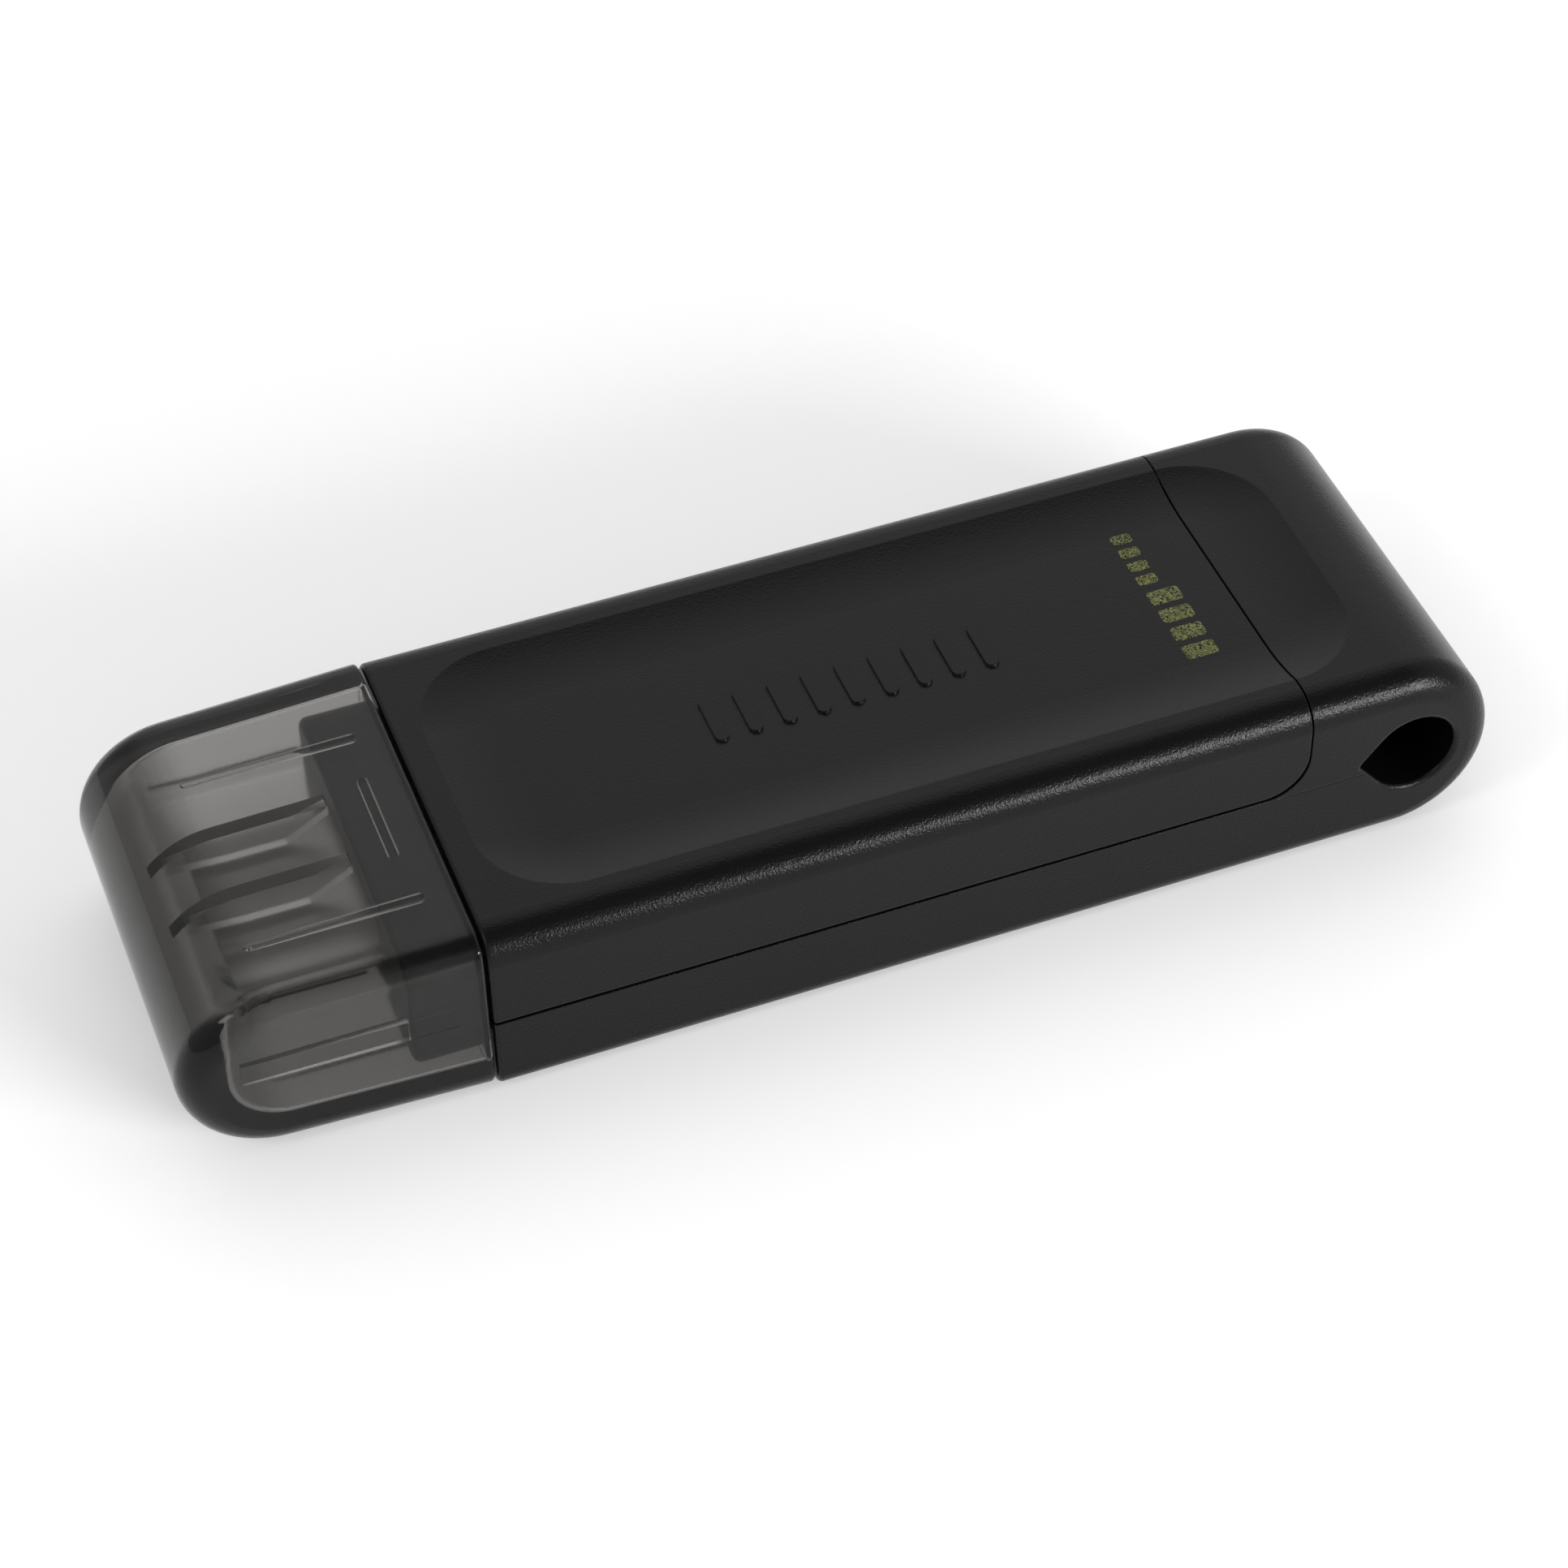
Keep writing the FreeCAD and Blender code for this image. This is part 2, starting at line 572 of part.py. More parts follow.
def rounded_section(x, half_width, half_height, radius):
    """A rectangle with round corners in the YZ plane at x."""
    straight_y = half_width - radius
    straight_z = half_height - radius
    bend = radius * math.sqrt(0.5)

    def at(y, z):
        return Vector(x, y, MID_Z + z)

    edges = []
    for sign_y, sign_z in ((1, 1), (-1, 1), (-1, -1), (1, -1)):
        side = at(sign_y * half_width, sign_z * straight_z)
        top = at(sign_y * straight_y, sign_z * half_height)
        middle = at(sign_y * (straight_y + bend), sign_z * (straight_z + bend))
        first, last = (side, top) if sign_y * sign_z > 0 else (top, side)
        edges.append(arc(first, middle, last))
        if sign_y * sign_z > 0:
            edges.append(line(last, at(-sign_y * straight_y, sign_z * half_height)))
        else:
            edges.append(line(last, at(sign_y * half_width, -sign_z * straight_z)))
    return Part.Wire(edges)


def clamp_rib():
    """One of the ribs that come down from the roof almost to the plug, to stiffen the cap's nose."""
    nose_x = FRONT_X + CAP_NOSE_WALL
    low_z = MID_Z + PLUG_HEIGHT / 2 + CLAMP_RIB_GAP
    high_z = MID_Z + cap_half_height(nose_x, CAP_WALL) + 0.4
    end_z = MID_Z + cap_half_height(CLAMP_RIB_REAR_X, CAP_WALL) - CLAMP_RIB_END_HEIGHT
    profile = [
        (nose_x - 0.4, low_z), (CLAMP_RIB_REAR_X - CLAMP_RIB_RAMP, low_z), (CLAMP_RIB_REAR_X, end_z),
        (CLAMP_RIB_REAR_X, high_z), (nose_x - 0.4, high_z),
    ]
    return side_polygon(profile, CLAMP_RIB_Y - CLAMP_RIB_WIDTH / 2, CLAMP_RIB_Y + CLAMP_RIB_WIDTH / 2)


def guide_rib(y):
    """A long low rib with round ends and a rounded foot, that steadies the collar's top face."""
    roof = MID_Z + cap_half_height(GUIDE_RIB_REAR_X, CAP_WALL) + RIB_SUNK
    half = GUIDE_RIB_WIDTH / 2
    low_z = COLLAR_TOP_Z + RIB_CLEARANCE
    rib = box(GUIDE_RIB_FRONT_X, GUIDE_RIB_REAR_X, y - half, y + half, low_z, roof)
    rib = rib.makeFillet(half - 0.01, upright_edges(rib))
    return rib.makeFillet(GUIDE_RIB_ROUND, edges_where(rib, lambda p: near(p.z, low_z)))


def side_rib():
    """A long rib on the side wall: shallow where it steadies the collar's side, deeper in front of it."""
    wall_y = cap_half_width(GUIDE_RIB_REAR_X, CAP_WALL) + RIB_SUNK
    half = SIDE_RIB_WIDTH / 2
    step_x = COLLAR_FRONT_X - 2 * RIB_CLEARANCE
    shallow_y = COLLAR_HALF_WIDTH + RIB_CLEARANCE
    shallow = box(SIDE_RIB_FRONT_X, GUIDE_RIB_REAR_X, shallow_y, wall_y, MID_Z - half, MID_Z + half)
    deep = box(SIDE_RIB_FRONT_X, step_x, wall_y - SIDE_RIB_DEPTH, wall_y, MID_Z - half, MID_Z + half)
    return shallow.fuse(deep)


def snap_ridge():
    """The cross ridge that grips the collar, with round ends and soft edges."""
    roof = MID_Z + cap_half_height(SNAP_RIDGE_X, CAP_WALL) + RIB_SUNK
    low_z = COLLAR_TOP_Z + RIB_CLEARANCE
    half = SNAP_RIDGE_WIDTH / 2
    ridge = wide_box(SNAP_RIDGE_X - half, SNAP_RIDGE_X + half, SNAP_RIDGE_LENGTH / 2, low_z, roof)
    ridge = ridge.makeFillet(half - 0.01, upright_edges(ridge))
    return ridge.makeFillet(SNAP_RIDGE_ROUND, edges_where(ridge, lambda p: near(p.z, low_z)))


def cap_ribs():
    """Every rib inside the cap: on the roof, on the floor, and one on each side."""
    above = both_sides(clamp_rib()) + [snap_ridge()]
    roof_guides = both_sides(guide_rib(ROOF_GUIDE_RIB_Y))
    floor_guides = [mirror_mid(rib) for rib in both_sides(guide_rib(FLOOR_GUIDE_RIB_Y))]
    return above + [mirror_mid(rib) for rib in above] + roof_guides + floor_guides + both_sides(side_rib())


def cap():
    outside = cap_outside()
    ribs = [rib.common(outside) for rib in cap_ribs()]
    return join([outside.cut(cap_cavity())] + ribs)


def usb_plug_shell():
    tube = capsule_bar_x(PLUG_TIP_X, PLUG_SHELL_REAR_X, PLUG_WIDTH, PLUG_HEIGHT)
    tube = tube.makeFillet(PLUG_MOUTH_ROUND, edges_where(tube, lambda p: near(p.x, PLUG_TIP_X)))
    bore = capsule_bar_x(
        PLUG_TIP_X - 1, PLUG_SHELL_REAR_X + 1, PLUG_WIDTH - 2 * PLUG_WALL, PLUG_HEIGHT - 2 * PLUG_WALL
    )
    leg = box(
        PLUG_SHELL_REAR_X - 0.6, LEG_REAR_X, LEG_Y - LEG_WIDTH / 2, LEG_Y + LEG_WIDTH / 2,
        BOARD_TOP_Z, BOARD_TOP_Z + LEG_HEIGHT,
    )
    return join([tube.cut(bore)] + both_sides(leg))


def contact_positions():
    first = -CONTACT_PITCH * (CONTACT_COUNT - 1) / 2
    return [first + i * CONTACT_PITCH for i in range(CONTACT_COUNT)]


def contact_grooves(x0, x1):
    """Slots above the mouth, one for each upper contact."""
    roof = MID_Z + MOUTH_HALF_HEIGHT
    half = GROOVE_WIDTH / 2
    return [box(x0, x1, y - half, y + half, roof - 0.1, roof + GROOVE_DEPTH) for y in contact_positions()]


def inner_bar(x0, x1):
    """A bar that just fills the plug shell's bore."""
    play = 2 * (PLUG_WALL + HOUSING_CLEARANCE)
    return capsule_bar_x(x0, x1, PLUG_WIDTH - play, PLUG_HEIGHT - play)


def plug_housing():
    sleeve = inner_bar(HOUSING_FRONT_X, HOUSING_REAR_X)
    mouth = wide_box(
        HOUSING_FRONT_X - 1, HOUSING_REAR_X + 1, MOUTH_HALF_WIDTH,
        MID_Z - MOUTH_HALF_HEIGHT, MID_Z + MOUTH_HALF_HEIGHT,
    )
    upper = contact_grooves(CONTACT_FRONT_X - 0.2, HOUSING_REAR_X + 1)
    lower = [mirror_mid(groove) for groove in upper]
    slot_half = LATCH_PLATE_THICKNESS / 2 + 0.03
    latch_slot = wide_box(
        LATCH_TIP_X - 0.1, HOUSING_REAR_X + 1, LATCH_ARM_Y + LATCH_ARM_WIDTH + 0.04,
        MID_Z - slot_half, MID_Z + slot_half,
    )
    return sleeve.cut(mouth).cut(latch_slot).cut(Part.makeCompound(upper + lower))


def upper_contact_block():
    """The moulding behind the mouth that holds the upper row of contacts."""
    bar = inner_bar(HOUSING_REAR_X + 0.02, BLOCK_REAR_X)
    keep_out = wide_box(
        HOUSING_REAR_X - 1, BLOCK_REAR_X + 1, PLUG_WIDTH, 0, MID_Z + LATCH_PLATE_THICKNESS / 2 + 0.01
    )
    block = bar.cut(keep_out)
    base = MID_Z + MOUTH_HALF_HEIGHT
    tunnels = [
        box(HOUSING_REAR_X - 1, BLOCK_REAR_X + 1, y - CONTACT_WIDTH / 2, y + CONTACT_WIDTH / 2,
            base, base + CONTACT_THICKNESS)
        for y in contact_positions()
    ]
    return block.cut(Part.makeCompound(tunnels))


def lower_contact_block():
    return mirror_mid(upper_contact_block())


def contact(y):
    """One upper contact: a spring tip with a bump, a straight shank and a tail soldered to the board."""
    base = MID_Z + MOUTH_HALF_HEIGHT
    thick = CONTACT_THICKNESS
    bump = MID_Z + CONTACT_GAP
    tip = base - thick
    ramp_x = CONTACT_BUMP_X + 0.7
    tail_x = BLOCK_REAR_X + 0.3
    top_line = [
        (CONTACT_REAR_X, BOARD_TOP_Z + thick), (tail_x + 0.2, BOARD_TOP_Z + thick), (tail_x, base + thick),
        (ramp_x, base + thick), (CONTACT_BUMP_X, bump + thick), (CONTACT_FRONT_X, base),
    ]
    low_line = [
        (CONTACT_FRONT_X, tip), (CONTACT_BUMP_X, bump), (ramp_x, base),
        (tail_x - 0.05, base), (tail_x + 0.1, BOARD_TOP_Z), (CONTACT_REAR_X, BOARD_TOP_Z),
    ]
    return side_polygon(top_line + low_line, y - CONTACT_WIDTH / 2, y + CONTACT_WIDTH / 2)


def upper_contacts():
    return Part.makeCompound([contact(y) for y in contact_positions()])


def lower_contacts():
    return mirror_mid(upper_contacts())


def latch_plate():
    """The earthing plate between the two contact rows, with a latch arm along each side of the mouth."""
    low_z = MID_Z - LATCH_PLATE_THICKNESS / 2
    high_z = MID_Z + LATCH_PLATE_THICKNESS / 2
    outer_y = LATCH_ARM_Y + LATCH_ARM_WIDTH
    web = wide_box(HOUSING_REAR_X + 0.1, BLOCK_REAR_X, outer_y, low_z, high_z)
    arm = box(LATCH_TIP_X, HOUSING_REAR_X + 0.6, LATCH_ARM_Y, outer_y, low_z, high_z)
    hook = box(LATCH_TIP_X, LATCH_TIP_X + 0.55, LATCH_HOOK_Y, LATCH_ARM_Y + 0.02, low_z, high_z)
    return join([web] + both_sides(arm) + both_sides(hook))


def shield_springs():
    """Two small earthing springs just inside the mouth, above and below, each with three tongues."""
    roof = MID_Z + MOUTH_HALF_HEIGHT
    x0 = HOUSING_FRONT_X + 0.12
    strip = wide_box(x0, x0 + 0.35, 2.9, roof - SHIELD_SPRING_THICKNESS, roof)
    first_y = -SHIELD_TONGUE_PITCH * (SHIELD_TONGUES - 1) / 2
    centres = [first_y + i * SHIELD_TONGUE_PITCH for i in range(SHIELD_TONGUES)]
    tongues = [
        box(x0 + 0.3, x0 + SHIELD_SPRING_LENGTH, y - 0.55, y + 0.55, roof - SHIELD_SPRING_THICKNESS, roof)
        for y in centres
    ]
    upper = join([strip] + tongues)
    return Part.makeCompound([upper, mirror_mid(upper)])


def circuit_board():
    board = join([
        wide_box(BOARD_FRONT_X, BOARD_SHOULDER_X + 1, BOARD_TONGUE_HALF_WIDTH, BOARD_FLOOR_Z, BOARD_TOP_Z),
        wide_box(BOARD_SHOULDER_X, BOARD_REAR_X, BOARD_HALF_WIDTH, BOARD_FLOOR_Z, BOARD_TOP_Z),
    ])
    for x, y in corners_of((PIN_X,), PIN_Y):
        board = board.cut(post(x, y, PIN_RADIUS + PIN_CLEARANCE, BOARD_FLOOR_Z - 1, BOARD_TOP_Z + 1))
    return board


def chip(x, y, length, width, height, chamfer=0.0):
    """A component body on top of the board, centred at x, y."""
    top_z = BOARD_TOP_Z + height
    body = box(x - length / 2, x + length / 2, y - width / 2, y + width / 2, BOARD_TOP_Z, top_z)
    if chamfer:
        body = body.makeChamfer(chamfer, edges_where(body, lambda p: near(p.z, top_z)))
    return body


def two_ended(places, size):
    """The bodies and the metal ends of small parts, as two lists."""
    length, width, height = size
    bodies = []
    ends = []
    for x, y, turn in places:
        body = chip(0, 0, length - 2 * TERMINAL, width, height)
        caps = [chip(side * (length - TERMINAL) / 2, 0, TERMINAL, width, height) for side in (-1, 1)]
        for shape in [body] + caps:
            shape.rotate(Vector(0, 0, 0), Vector(0, 0, 1), turn)
            shape.translate(Vector(x, y, 0))
        bodies.append(body)
        ends += caps
    return bodies, ends


def ceramic_capacitors():
    return Part.makeCompound(two_ended(CAPACITOR_PLACES, CAPACITOR_SIZE)[0])


def chip_resistors():
    return Part.makeCompound(two_ended(RESISTOR_PLACES, RESISTOR_SIZE)[0])


def component_terminals():
    ends = two_ended(CAPACITOR_PLACES, CAPACITOR_SIZE)[1] + two_ended(RESISTOR_PLACES, RESISTOR_SIZE)[1]
    return Part.makeCompound(ends)


def controller_chip():
    return chip(*CONTROLLER, chamfer=0.08)


def flash_memory_chip():
    return chip(*FLASH, chamfer=0.1)


def crystal_base():
    x, y, length, width, height = CRYSTAL
    return chip(x, y, length, width, height * 0.4)


def crystal_lid():
    x, y, length, width, height = CRYSTAL
    lid = chip(x, y, length - 0.3, width - 0.3, height * 0.6)
    lid.translate(Vector(0, 0, height * 0.4))
    return lid


def power_inductor():
    return chip(*INDUCTOR, chamfer=0.12)


def voltage_regulator():
    """A small moulded body that stands a hair above the board on its leads."""
    body = chip(*REGULATOR, chamfer=0.1)
    return body.cut(chip(0, 0, 4 * LENGTH, 4 * WIDTH, REGULATOR_STAND_OFF))


def regulator_lead(x, side):
    """A lead that leaves the body halfway up and steps down to a foot on the board."""
    centre_x, centre_y, length, width, height = REGULATOR
    root = width / 2
    knee = root + 0.3
    thick = LEAD_THICKNESS
    mid_z = BOARD_TOP_Z + height / 2
    foot = root + 0.6
    foot_z = BOARD_TOP_Z + thick
    outline = [
        (root, mid_z + thick), (knee, mid_z + thick), (knee, foot_z), (foot, foot_z),
        (foot, BOARD_TOP_Z), (knee - thick, BOARD_TOP_Z), (knee - thick, mid_z), (root, mid_z),
    ]
    points = [Vector(x - LEAD_WIDTH / 2, centre_y + side * y, z) for y, z in outline]
    return Part.Face(Part.makePolygon(points + points[:1])).extrude(Vector(LEAD_WIDTH, 0, 0))


def regulator_leads():
    """Three leads on one side and two on the other."""
    x = REGULATOR[0]
    near_row = [regulator_lead(x + i * LEAD_PITCH, -1) for i in (-1, 0, 1)]
    far_row = [regulator_lead(x + i * LEAD_PITCH, 1) for i in (-1, 1)]
    return Part.makeCompound(near_row + far_row)


def static_protectors():
    """Two small arrays beside the plug's contacts that take static shocks to earth."""
    return Part.makeCompound([chip(PROTECTOR_X, side * PROTECTOR_Y, 1.0, 2.5, 0.5) for side in (-1, 1)])


def save(name, shape):
    """Writes one piece's file and prints whether its solids are sound."""
    shape.exportStep(os.path.join("parts", name + ".step"))
    volume = sum(solid.Volume for solid in shape.Solids)
    print(f"{name:22s} solids {len(shape.Solids):3d}  sound {shape.isValid()}  volume {volume:9.3f}")


def main():
    os.makedirs("parts", exist_ok=True)
    envelope = body_envelope()
    save("lower_shell", lower_shell(envelope))
    save("upper_shell", upper_shell(envelope))
    for piece in PIECES:
        save(piece.__name__, piece())


PIECES = (
    cap,
    plug_collar,
    usb_plug_shell,
    plug_housing,
    upper_contact_block,
    lower_contact_block,
    upper_contacts,
    lower_contacts,
    latch_plate,
    shield_springs,
    circuit_board,
    controller_chip,
    flash_memory_chip,
    crystal_base,
    crystal_lid,
    power_inductor,
    voltage_regulator,
    regulator_leads,
    static_protectors,
    ceramic_capacitors,
    chip_resistors,
    component_terminals,
)

main()
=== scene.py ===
import math

import bmesh
import bpy
from mathutils import Matrix, Vector


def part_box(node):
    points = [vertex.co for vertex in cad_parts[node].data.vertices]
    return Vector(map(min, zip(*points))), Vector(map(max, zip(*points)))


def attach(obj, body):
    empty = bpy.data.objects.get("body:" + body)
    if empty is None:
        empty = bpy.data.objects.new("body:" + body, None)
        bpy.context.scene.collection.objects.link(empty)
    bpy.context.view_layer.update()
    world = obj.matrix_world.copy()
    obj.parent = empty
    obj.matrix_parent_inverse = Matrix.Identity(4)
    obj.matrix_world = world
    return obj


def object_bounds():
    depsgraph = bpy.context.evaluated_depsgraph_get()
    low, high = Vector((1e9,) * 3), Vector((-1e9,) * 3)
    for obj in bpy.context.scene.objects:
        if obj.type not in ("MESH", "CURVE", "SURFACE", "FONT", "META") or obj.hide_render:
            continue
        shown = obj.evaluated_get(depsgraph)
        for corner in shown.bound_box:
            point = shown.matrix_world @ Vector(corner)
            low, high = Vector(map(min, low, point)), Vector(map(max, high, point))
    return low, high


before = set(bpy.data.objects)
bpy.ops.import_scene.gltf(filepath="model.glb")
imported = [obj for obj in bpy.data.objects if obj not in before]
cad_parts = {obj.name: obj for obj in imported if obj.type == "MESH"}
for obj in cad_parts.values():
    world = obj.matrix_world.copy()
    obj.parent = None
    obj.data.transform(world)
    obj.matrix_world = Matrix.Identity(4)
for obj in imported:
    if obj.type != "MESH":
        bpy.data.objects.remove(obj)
cad_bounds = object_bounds()

MM = 0.001
DRIVE_LOW, DRIVE_HIGH = cad_bounds
MIDDLE = (DRIVE_LOW + DRIVE_HIGH) / 2

# The drive's own measures, in millimetres
MID_Z = MIDDLE.z / MM
SIDE_Y = DRIVE_HIGH.y / MM
SCOOP_FLOOR_Z = DRIVE_HIGH.z / MM - 0.5
SEAM_REAR_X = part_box("upper_shell")[1].x / MM
EYE_X = 25.6
EYE_REACH = 2.4
PARTING_Z = MID_Z - 0.42
PARTING_FRONT_X = SEAM_REAR_X - 1.2
PARTING_HALF_WIDTH = 0.035
GRIP_CENTRE_X = 2.9
GRIP_HALF_LENGTH = 6.7
GRIP_HALF_WIDTH = 1.4
GRIP_TOP_LOW_Z = SCOOP_FLOOR_Z + 0.07
GRIP_TOP_HIGH_Z = SCOOP_FLOOR_Z + 0.16
CAP_NOSE_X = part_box("cap")[0].x / MM
# Around here the painted shade at the cap's nose fades out
NOSE_SHADE_END_X = CAP_NOSE_X + 3.4
BOARD_SIDE_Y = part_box("circuit_board")[1].y / MM
VIA_PITCH = 1.3
TRACK_PITCH = 0.5
CHIP_DIMPLE_INSET = 0.7
CHIP_DIMPLE_RADIUS = 0.3
CHIP_BAR_PITCH = 0.6

# Within the cap's wall: further in than these, a face is one of its inside faces
CAP_INSIDE_CENTRE_X = CAP_NOSE_X + 4.6
CAP_INSIDE_RADIUS = 3.8
CAP_INSIDE_Y = SIDE_Y - 0.7

# The camera: where it looks, past the drive's middle, and from where
LOOK_OFFSET = Vector((-0.464, -0.815, -0.135)) * MM
CAMERA_AZIMUTH = -19.918
CAMERA_ELEVATION = 45.6
CAMERA_DISTANCE = 175.283 * MM
CAMERA_ROLL = -1.182
CAMERA_LENS = 92.97

# How bright the room's wall is, what the glow adds and the dim patch takes away, and the floor's own light
ROOM_LIGHT = 0.64
GLOW_LIGHT = 0.46
DIM_LIGHT = 0.45
FLOOR_LIGHT = 0.22

# The gauge of ink blocks, in millimetres
GAUGE_COUNT = 4
TALL_BLOCK = (1.5, 0.86)
TALL_FIRST = (17.75, -3.62)
TALL_PITCH = 1.22
SHORT_BLOCK = (0.95, 0.6)
SHORT_FIRST = (17.45, 1.28)
SHORT_PITCH = 0.93
BLOCK_CORNER = 0.16
INK_THICKNESS = 0.012


# ---------------------------------------------------------------- shader arithmetic

class Wire:
    """A value running through a node tree, so that sums of them read as arithmetic."""

    def __init__(self, board, socket):
        self.board = board
        self.socket = socket

    def _math(self, operation, first, second):
        terms = {"Value": first, "Value_001": second}
        return self.board.node("ShaderNodeMath", {"operation": operation}, terms)

    def __add__(self, other):
        return self._math("ADD", self, other)

    def __radd__(self, other):
        return self._math("ADD", other, self)

    def __sub__(self, other):
        return self._math("SUBTRACT", self, other)

    def __rsub__(self, other):
        return self._math("SUBTRACT", other, self)

    def __mul__(self, other):
        return self._math("MULTIPLY", self, other)

    def __rmul__(self, other):
        return self._math("MULTIPLY", other, self)

    def __truediv__(self, other):
        return self._math("DIVIDE", self, other)

    def __abs__(self):
        return self._math("ABSOLUTE", self, 0.0)

    def at_least(self, other):
        return self._math("MAXIMUM", self, other)

    def wrapped(self, period):
        """The distance to the nearest multiple of a period."""
        return self._math("PINGPONG", self, period / 2)

    def above(self, edge, softness):
        """0 below the edge and 1 above it, over a soft width."""
        return self.board.node(
            "ShaderNodeMapRange", {"interpolation_type": "SMOOTHSTEP"},
            {"Value": self, "From Min": edge - softness / 2, "From Max": edge + softness / 2},
        )

    def below(self, edge, softness):
        return 1 - self.above(edge, softness)


class Board:
    """A node tree that shader nodes are wired up on."""

    def __init__(self, tree):
        self.tree = tree

    def node(self, kind, settings, sockets, output=0):
        """Adds a node: its settings first, then the values or wires of its sockets."""
        made = self.tree.nodes.new(kind)
        for name, value in settings.items():
            setattr(made, name, value)
        for name, value in sockets.items():
            socket = next(s for s in made.inputs if s.identifier == name)
            if isinstance(value, Wire):
                self.tree.links.new(value.socket, socket)
            elif socket.type == "RGBA" and len(value) == 3:
                socket.default_value = (*value, 1.0)
            else:
                socket.default_value = value
        return Wire(self, made.outputs[output])

    def mix_colour(self, factor, first, second):
        sockets = {"Factor_Float": factor, "A_Color": first, "B_Color": second}
        return self.node("ShaderNodeMix", {"data_type": "RGBA"}, sockets, output=2)


class Finish(Board):
    """A material being made for one of the drive's surfaces. Sizes are in millimetres."""

    def __init__(self, name):
        self.material = bpy.data.materials.new(name)
        self.material.use_nodes = True
        super().__init__(self.material.node_tree)
        self.tree.nodes.clear()
        self.output = self.tree.nodes.new("ShaderNodeOutputMaterial")

    def place(self, stretch=(1.0, 1.0, 1.0)):
        """The point on the piece in the drive's own frame, in millimetres times a stretch."""
        point = self.node("ShaderNodeTexCoord", {}, {}, output=3)
        terms = {"Vector": point, "Vector_001": tuple(s / MM for s in stretch)}
        return self.node("ShaderNodeVectorMath", {"operation": "MULTIPLY"}, terms)

    def axes(self):
        """The three parts of that point."""
        point = self.place()
        return [self.node("ShaderNodeSeparateXYZ", {}, {"Vector": point}, output=i) for i in range(3)]

    def noise(self, size, detail=2.0, roughness=0.5, stretch=(1.0, 1.0, 1.0)):
        """Even noise whose lumps are about size across."""
        sockets = {"Vector": self.place(stretch), "Scale": 1 / size}
        sockets.update({"Detail": detail, "Roughness": roughness})
        return self.node("ShaderNodeTexNoise", {}, sockets)

    def spots(self, size):
        """The distance to the nearest of many scattered points about size apart, in that unit."""
        sockets = {"Vector": self.place(), "Scale": 1 / size}
        return self.node("ShaderNodeTexVoronoi", {"feature": "F1"}, sockets)

    def soft_edges(self, radius):
        """Normals that look rounded over at sharp edges."""
        return self.node("ShaderNodeBevel", {"samples": 4}, {"Radius": radius * MM})

    def bump(self, height, depth, strength=1.0, under=None):
        """A normal bent by a height that runs from 0 to 1, for relief so deep."""
        sockets = {"Height": height, "Distance": depth * MM, "Strength": strength}
        if under is not None:
            sockets["Normal"] = under
        return self.node("ShaderNodeBump", {}, sockets)

    def surface(self, sockets):
        shader = self.node("ShaderNodeBsdfPrincipled", {}, sockets)
        self.tree.links.new(shader.socket, self.output.inputs["Surface"])

    def dress(self, *nodes):
        """Puts this finish on CAD nodes."""
        for name in nodes:
            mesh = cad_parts[name].data
            mesh.materials.clear()
            mesh.materials.append(self.material)


# ---------------------------------------------------------------- camera, floor and lights

def aim(thing, place, target, roll=0.0):
    """Puts a camera or light at a place, looking at a target, turned about its own line of sight."""
    thing.location = place
    look = (target - place).to_track_quat("-Z", "Y")
    thing.rotation_mode = "QUATERNION"
    thing.rotation_quaternion = look @ Matrix.Rotation(roll, 3, "Z").to_quaternion()


def direction(azimuth, elevation):
    """The unit vector towards an azimuth (0 is in front, along -Y) and an elevation, in degrees."""
    a = math.radians(azimuth)
    e = math.radians(elevation)
    return Vector((math.sin(a) * math.cos(e), -math.cos(a) * math.cos(e), math.sin(e)))


def make_camera():
    data = bpy.data.cameras.new("camera")
    data.lens = CAMERA_LENS
    data.sensor_width = 36.0
    data.clip_start = 0.01
    data.clip_end = 20.0
    camera = bpy.data.objects.new("camera", data)
    bpy.context.scene.collection.objects.link(camera)
    target = MIDDLE + LOOK_OFFSET
    place = target + direction(CAMERA_AZIMUTH, CAMERA_ELEVATION) * CAMERA_DISTANCE
    aim(camera, place, target, math.radians(CAMERA_ROLL))
    bpy.context.scene.camera = camera


def softbox(name, azimuth, elevation, distance, width, height, radiance):
    """A rectangular light that looks equally bright from any distance."""
    data = bpy.data.lights.new(name, "AREA")
    data.shape = "RECTANGLE"
    data.size = width
    data.size_y = height
    data.energy = radiance * math.pi * width * height
    light = bpy.data.objects.new(name, data)
    bpy.context.scene.collection.objects.link(light)
    light.visible_transmission = False
    aim(light, MIDDLE + direction(azimuth, elevation) * distance, MIDDLE)


def make_room():
    """A pale room with one broad soft glow high at the back, and dim overhead and a little to the front."""
    world = bpy.data.worlds.new("room")
    world.use_nodes = True
    room = Board(world.node_tree)
    towards = room.node("ShaderNodeTexCoord", {}, {})

    def around(azimuth, elevation):
        """The cosine of the angle from one direction."""
        facing = {"Vector": towards, "Vector_001": direction(azimuth, elevation)}
        return room.node("ShaderNodeVectorMath", {"operation": "DOT_PRODUCT"}, facing, output=1)

    glow = around(azimuth=163, elevation=45).above(0.86, 0.24)
    dim = around(azimuth=30, elevation=67).above(0.87, 0.16)
    strength = ROOM_LIGHT + glow * GLOW_LIGHT - dim * DIM_LIGHT
    background = world.node_tree.nodes["Background"]
    background.inputs["Color"].default_value = (1.0, 1.0, 1.0, 1.0)
    world.node_tree.links.new(strength.socket, background.inputs["Strength"])
    bpy.context.scene.world = world
    bpy.context.scene.view_settings.view_transform = "Standard"


